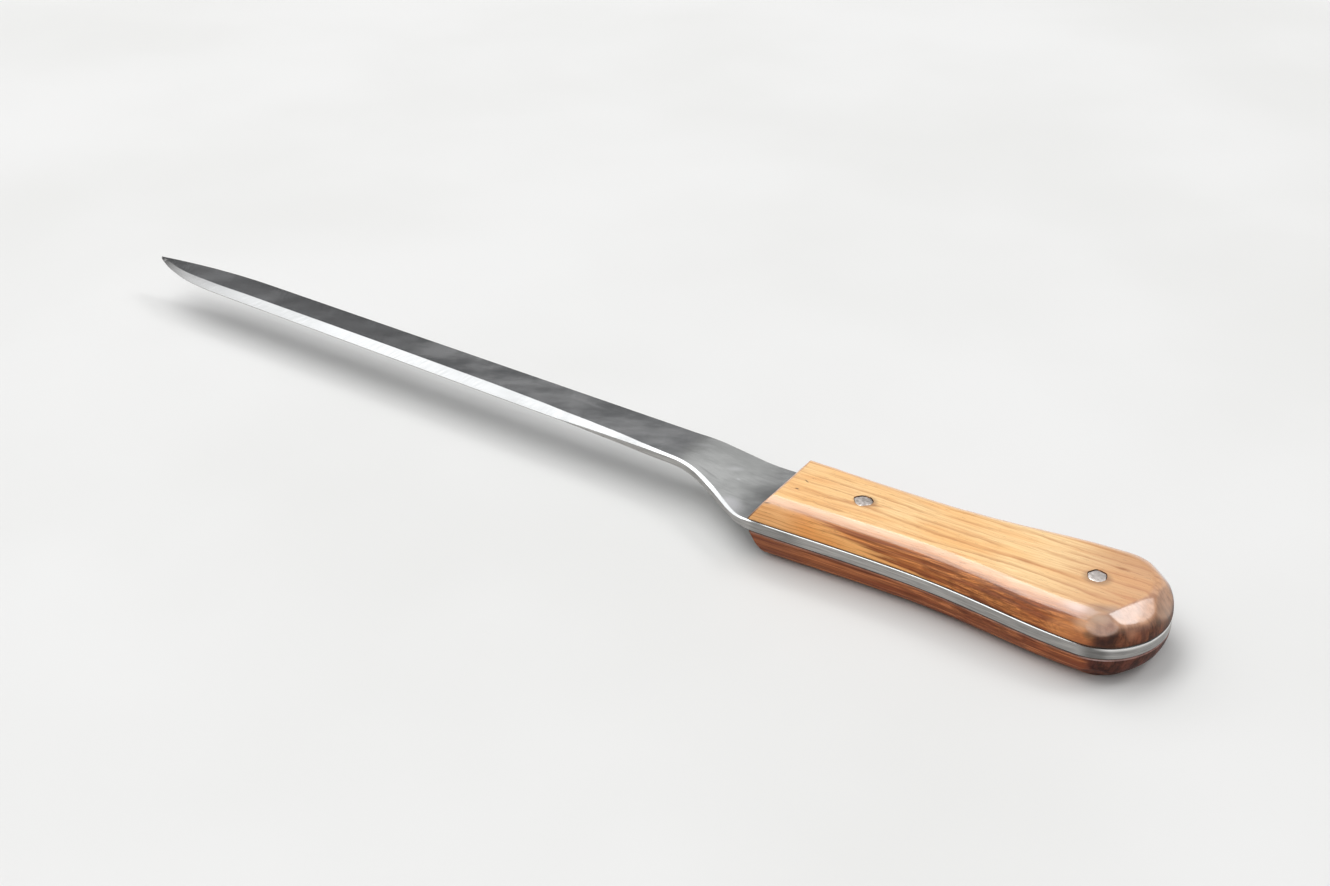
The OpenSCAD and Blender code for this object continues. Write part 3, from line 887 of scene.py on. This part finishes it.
def scale_points(front_x):
    """Rings of a scale from its inner face, at z = 0, up to its outer face. front_x is the front
    end of the inner face."""
    def lean(z):
        return mix(front_x, OUTER_FRONT_X, z / SCALE_T)

    def none(radius):
        return 0 * radius

    rings = [scale_ring(none, none, front_x, BROKEN_EDGE),
             scale_ring(none, lambda r: none(r) + BROKEN_EDGE, lean(BROKEN_EDGE))]
    for a in np.radians(np.linspace(0, 90, SHOULDER_STEPS)):
        in_share, down_share = 1 - math.cos(a), 1 - math.sin(a)
        front = lean(SCALE_T - SHOULDER_FRONT * down_share)
        rings.append(scale_ring(lambda r: r * in_share, lambda r: SCALE_T - r * down_share, front))
    outer = rings[-1]
    spine_x = np.clip(outer[:, 0], BELLY_X, OUTER_FRONT_X - SPINE_END)
    spine = np.stack([spine_x, 0 * spine_x, outer[:, 2]], 1)
    for share in SPINE_SHARES:
        rings.append(mix(outer, spine, share))
    return rings


def soften(grid):
    """Rubs the edges between the facets of the butt, away from the inner face and the middle."""
    first, last = 3, SHOULDER_STEPS + 7
    inner = grid[first:last]
    for _ in range(SOFTENING):
        around = (np.roll(inner, 1, 1) + np.roll(inner, -1, 1)) / 2
        across = (grid[first - 1:last - 1] + grid[first + 1:last + 1]) / 2
        share = 0.5 * limit((SOFT_X - inner[..., :1]) / SOFT_L)
        inner[:] = mix(inner, (around + across) / 2, share)


def make_scale(name, node, material, seed, front_x, lower):
    """A scale, modelled with its inner face at z = 0 and then put on its side of the tang."""
    rings = scale_points(front_x)
    count = len(rings[0])
    points = np.concatenate(rings)
    for azimuth, tilt, through in BUTT_FACETS + FRONT_FACETS:
        flatten(points, azimuth, tilt, through)
    soften(points.reshape(len(rings), count, 3))
    # Slight unevenness of hand work, always inwards
    dip = DIP * (1 + waves(points[:, 0], seed, DIP_WAVE_L))
    dip = dip * limit((SCALE_T - points[:, 2]) / DIP_FADE_L) * (points[:, 2] > DIP_FROM_Z)
    points[:, 1] -= np.sign(points[:, 1]) * dip
    faces = closed_faces(len(rings), count)
    if lower:
        points = points * np.array([1, 1, -1]) + np.array([0, 0, SCALE_T])
        faces = turned(faces)
    else:
        points = points + np.array([0, 0, UPPER_Z])
    piece = new_piece(name, points, faces, [material])
    cut(piece, [pin_cutter(end) for end in (-1, 1)])
    crease(piece, degrees=24)
    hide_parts(node)
    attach(piece, "root")


# Pins


def head_outline(end):
    """Uneven outline that the hammer left: the angles round a head and the radius at each."""
    angle = np.linspace(0, 2 * np.pi, PIN_STEPS, endpoint=False)
    radius, ripples = HEAD_OUTLINES[end]
    for size, number, phase in ripples:
        radius = radius + size * np.cos(number * angle + phase)
    if end > 0:
        radius -= NOTCH * np.exp(-((angle - NOTCH_ANGLE) / NOTCH_WIDTH) ** 2)
    return angle, radius


def pin_ring(end, angle, radius, z):
    return np.stack([end * PIN_X + radius * np.cos(angle), radius * np.sin(angle), z + 0 * radius], 1)


def pin_cutter(end):
    """What the bore of a pin takes out of the wood, right through the handle."""
    angle, radius = head_outline(end)
    steps = list(BORE) + [(HANDLE_T - depth, wider) for depth, wider in BORE[::-1]]
    rings = [pin_ring(end, angle, radius + wider, z) for z, wider in steps]
    return new_piece("cutter", np.concatenate(rings), closed_faces(len(rings), PIN_STEPS), [])


def make_pin(name, node, end, material):
    """A pin whose ends were hammered into a low, uneven crown just under the wood."""
    angle, radius = head_outline(end)
    head = []
    for share, depth in CROWN:
        dent = DENT * np.cos(3 * angle + 2 * share + end) * (share < DENT_SHARE)
        head.append((radius * share, depth + CROWN_DROP + np.abs(dent)))
    head.append((np.full(PIN_STEPS, SHANK_R), np.full(PIN_STEPS, HEAD_T)))
    rings = [pin_ring(end, angle, r, HANDLE_T - depth) for r, depth in head]
    rings += [pin_ring(end, angle, r, depth) for r, depth in head[::-1]]
    faces = turned(closed_faces(len(rings), PIN_STEPS))
    piece = new_piece(name, np.concatenate(rings), faces, [material])
    crease(piece, degrees=40)
    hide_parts(node)
    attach(piece, "root")


# Glue


def finish_glue(material):
    """The beds of glue keep the solids' shape."""
    for node in ("upper_glue_bed", "lower_glue_bed"):
        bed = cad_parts[node]
        bed.data.materials.clear()
        bed.data.materials.append(material)


# Scene around the knife


def make_camera():
    camera = bpy.data.objects.new("camera", bpy.data.cameras.new("camera"))
    ahead = Vector((*(a * math.cos(PITCH) for a in CAMERA_AHEAD), -math.sin(PITCH)))
    right = ahead.cross(Vector((0, 0, 1))).normalized()
    up = right.cross(ahead)
    turn = Matrix((right, up, -ahead)).transposed()
    camera.matrix_world = Matrix.Translation(Vector(CAMERA_AT) * MM) @ turn.to_4x4()
    camera.data.sensor_width = SENSOR_W
    camera.data.lens = FOCAL_PX / PHOTO_W * camera.data.sensor_width
    camera.data.clip_start, camera.data.clip_end = CLIP_NEAR, CLIP_FAR
    bpy.context.scene.collection.objects.link(camera)
    bpy.context.scene.camera = camera


def soft_box(name, towards, width, height, radiance):
    """An oblong light that faces the knife, far enough away to light the floor evenly."""
    direction = Vector(towards).normalized()
    data = bpy.data.lights.new(name, "AREA")
    data.shape = "RECTANGLE"
    data.size, data.size_y = width * LIGHT_DISTANCE, height * LIGHT_DISTANCE
    data.energy = radiance * data.size * data.size_y * math.pi
    light = bpy.data.objects.new(name, data)
    light.location = direction * LIGHT_DISTANCE
    light.rotation_mode = "QUATERNION"
    light.rotation_quaternion = direction.to_track_quat("Z", "Y")
    light.visible_camera = False
    bpy.context.scene.collection.objects.link(light)


def make_world():
    """A plain room: pale near the floor, grey above."""
    world = bpy.data.worlds.new("room")
    bpy.context.scene.world = world
    world.use_nodes = True
    tree = world.node_tree
    place = tree.nodes.new("ShaderNodeTexCoord").outputs["Generated"]
    axes = tree.nodes.new("ShaderNodeSeparateXYZ")
    tree.links.new(place, axes.inputs[0])
    ramp = tree.nodes.new("ShaderNodeValToRGB")
    ramp.color_ramp.interpolation = "EASE"
    # The ramp comes with its first and last element
    for at, _ in ROOM_LEVELS[1:-1]:
        ramp.color_ramp.elements.new(at)
    for element, (at, level) in zip(ramp.color_ramp.elements, ROOM_LEVELS):
        element.position = at
        element.color = (level, level, level, 1)
    tree.links.new(axes.outputs["Z"], ramp.inputs[0])
    tree.links.new(ramp.outputs["Color"], tree.nodes["Background"].inputs["Color"])


def make_floor():
    """A large pale disc under the knife."""
    angle = np.linspace(0, 2 * np.pi, FLOOR_STEPS, endpoint=False)
    rings = []
    for radius in FLOOR_RADII:
        rings.append(np.stack([radius * np.cos(angle), radius * np.sin(angle), 0 * angle - FLOOR_DROP], 1))
    faces = turned(loft_faces(len(rings), FLOOR_STEPS)) + [tuple(range(FLOOR_STEPS))]
    floor = new_piece("floor", np.concatenate(rings), faces, [floor_finish()])


make_camera()
make_world()
make_floor()
for light in LIGHTS:
    soft_box(*light)

make_steel(steel_face(), steel_bevel(), steel_rim())
upper_wood = wood("upper_wood", centre=(0, 0, 0), heart_floor=10.0, heart_top=17.6,
                  tone=(1.0, 1.0, 1.0))
make_scale("upper_wood", "upper_scale", upper_wood, seed=3, front_x=UPPER_FRONT_X, lower=False)
# The lower scale's darker, redder tone is partly redder wood and partly painted shade of the handle's
# underside
lower_wood = wood("lower_wood", centre=(31, 7, 17), heart_floor=-12.0, heart_top=12.0,
                  tone=(0.71, 0.67, 0.90))
make_scale("lower_wood", "lower_scale", lower_wood, seed=8, front_x=LOWER_FRONT_X, lower=True)
metal = pin_metal()
make_pin("front_rivet", "front_pin", end=1, material=metal)
make_pin("rear_rivet", "rear_pin", end=-1, material=metal)
finish_glue(glue())

bpy.context.scene.view_settings.view_transform = "Standard"
